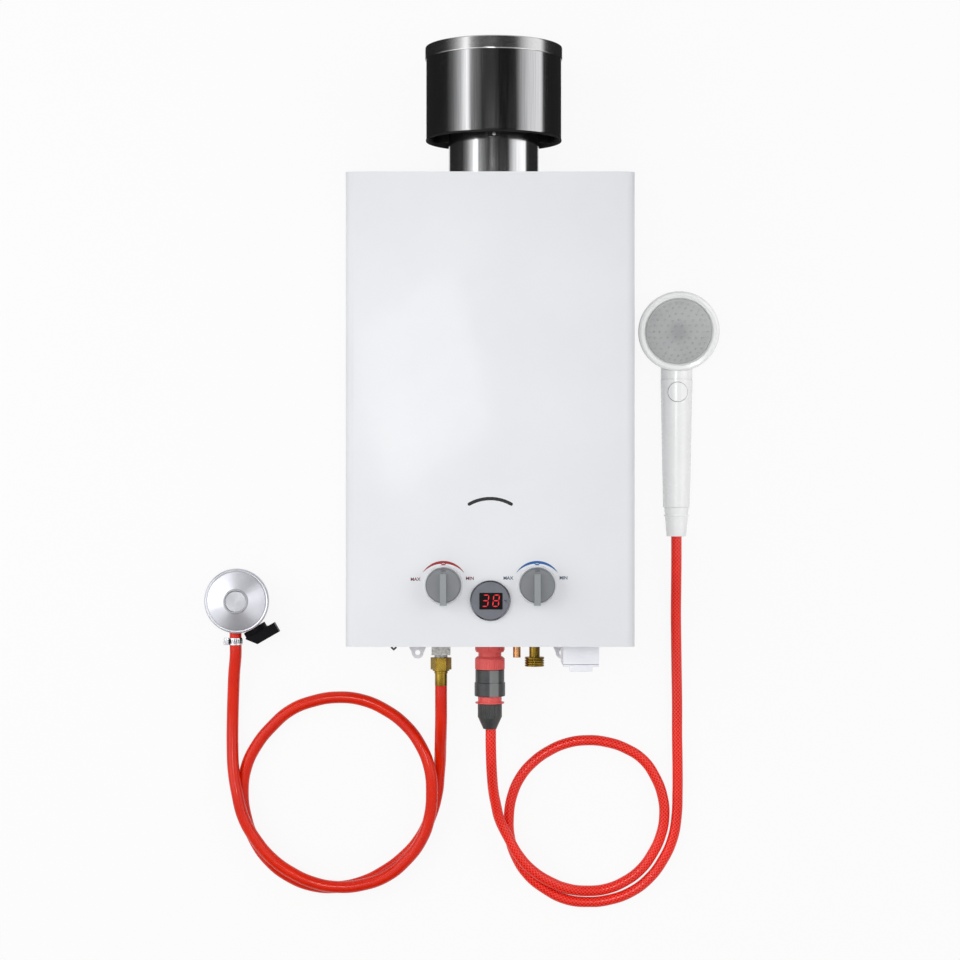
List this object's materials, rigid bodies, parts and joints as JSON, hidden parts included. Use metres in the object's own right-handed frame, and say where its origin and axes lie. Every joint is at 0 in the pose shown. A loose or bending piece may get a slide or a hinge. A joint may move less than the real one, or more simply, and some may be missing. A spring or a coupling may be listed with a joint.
{
  "type": "portable propane water heater",
  "caption": "White sheet-steel instant gas water heater with a capped round flue, control knobs and a round display, with its gas hose and regulator and its hand shower laid out beside it.",
  "frame": {"origin": "centre of the casing's back face, which lies on the bench at z = 0", "axes": "+X to the right across the front, +Y up the heater towards the flue, +Z out of the front panel"},
  "size_m": [0.5557, 0.9289, 0.1614],
  "materials": {
    "casing_white": "semi-gloss powder coat",
    "plate_zinc": "satin",
    "screw_steel": "bright",
    "window_glass": "clear",
    "flue_steel": "polished stainless",
    "lid_steel": "brushed",
    "inner_steel": "mill",
    "copper": "satin copper",
    "cast_alloy": "as cast",
    "ceramic": "glazed",
    "brass": "turned",
    "black_plastic": "matt",
    "grey_plastic": "satin",
    "white_plastic": "gloss",
    "red_plastic": "gloss",
    "panel_plastic": "gloss",
    "bezel_chrome": "bright",
    "cell_case": "printed wrap left plain",
    "zinc": "satin die casting",
    "clamp_steel": "bright",
    "gas_rubber": "satin",
    "hose_pvc": "glossy clear red",
    "spray_grey": "satin",
    "board_green": "matt",
    "lead_insulation": "satin"
  },
  "bodies": {
    "heater": {"back_plate": "plate_zinc", "front_cover": "casing_white", "base_panel": "plate_zinc", "screws": "screw_steel", "view_window": "window_glass", "flue_collar": "flue_steel", "flue_pipe": "flue_steel", "cap_drum": "flue_steel", "cap_lid": "lid_steel", "cap_straps": "inner_steel", "flue_hood": "inner_steel", "exchanger_shell": "copper", "exchanger_fins": "copper", "exchanger_tubes": "copper", "burner_tray": "inner_steel", "burner_blades": "inner_steel", "gas_manifold": "cast_alloy", "electrodes": "ceramic", "overheat_switch": "black_plastic", "gas_valve": "cast_alloy", "water_valve": "brass", "micro_switch": "black_plastic", "control_box": "black_plastic", "wiring": "lead_insulation", "water_pipes": "copper", "battery_box": "white_plastic", "lid_pin": "screw_steel", "batteries": "cell_case", "battery_contacts": "screw_steel", "display_bezel": "bezel_chrome", "display_panel": "panel_plastic", "display_board": "board_green", "knob_collars": "white_plastic", "gas_inlet": "cast_alloy", "gas_union_nut": "brass", "gas_hose_ferrule": "brass", "gas_hose": "gas_rubber", "hose_clamp": "clamp_steel", "regulator_cover": "zinc", "regulator_base": "zinc", "regulator_coupling": "black_plastic", "cold_inlet": "brass", "drain_plug": "brass", "tap_adapter": "red_plastic", "connector_body": "red_plastic", "hose_nut": "black_plastic", "shower_hose": "hose_pvc", "shower_head": "white_plastic", "spray_plate": "spray_grey", "shower_handle": "white_plastic", "shower_tail": "white_plastic"},
    "gas_control": {"gas_knob": "grey_plastic", "gas_spindle": "screw_steel"},
    "water_control": {"water_knob": "grey_plastic", "water_spindle": "screw_steel"},
    "battery_flap": {"battery_lid": "white_plastic"},
    "shower_switch": {"shower_button": "white_plastic"},
    "tap_lever": {"regulator_lever": "black_plastic"},
    "release_sleeve": {"connector_sleeve": "grey_plastic"},
    "flow_rod": {"flow_rod": "screw_steel"}
  },
  "joints": [
    {"name": "gas_knob_turn", "type": "hinge", "parent": "heater", "child": "gas_control", "pos_m": [-0.0485, -0.182, 0.142], "axis": [0, 0, 1], "range_deg": [-75, 75]},
    {"name": "water_knob_turn", "type": "hinge", "parent": "heater", "child": "water_control", "pos_m": [0.0485, -0.182, 0.142], "axis": [0, 0, 1], "range_deg": [-75, 75]},
    {"name": "battery_lid_swing", "type": "hinge", "parent": "heater", "child": "battery_flap", "pos_m": [0.0953, -0.267, 0.0371], "axis": [1, 0, 0], "range_deg": [0, 95]},
    {"name": "shower_button_press", "type": "slide", "parent": "heater", "child": "shower_switch", "axis": [0, 0, -1], "range_m": [0, 0.003], "stiffness_N_per_m": 400, "springref_m": -0.001},
    {"name": "regulator_lever_turn", "type": "hinge", "parent": "heater", "child": "tap_lever", "pos_m": [-0.2565, -0.23345, 0.02], "axis": [0.5, -0.866, 0], "range_deg": [0, 90]},
    {"name": "sleeve_slide", "type": "slide", "parent": "heater", "child": "release_sleeve", "axis": [0, -1, 0], "range_m": [0, 0.0045], "stiffness_N_per_m": 900, "springref_m": -0.002},
    {"name": "flow_rod_slide", "type": "slide", "parent": "heater", "child": "flow_rod", "axis": [1, 0, 0], "range_m": [0, 0.003], "stiffness_N_per_m": 150, "springref_m": -0.001}
  ]
}
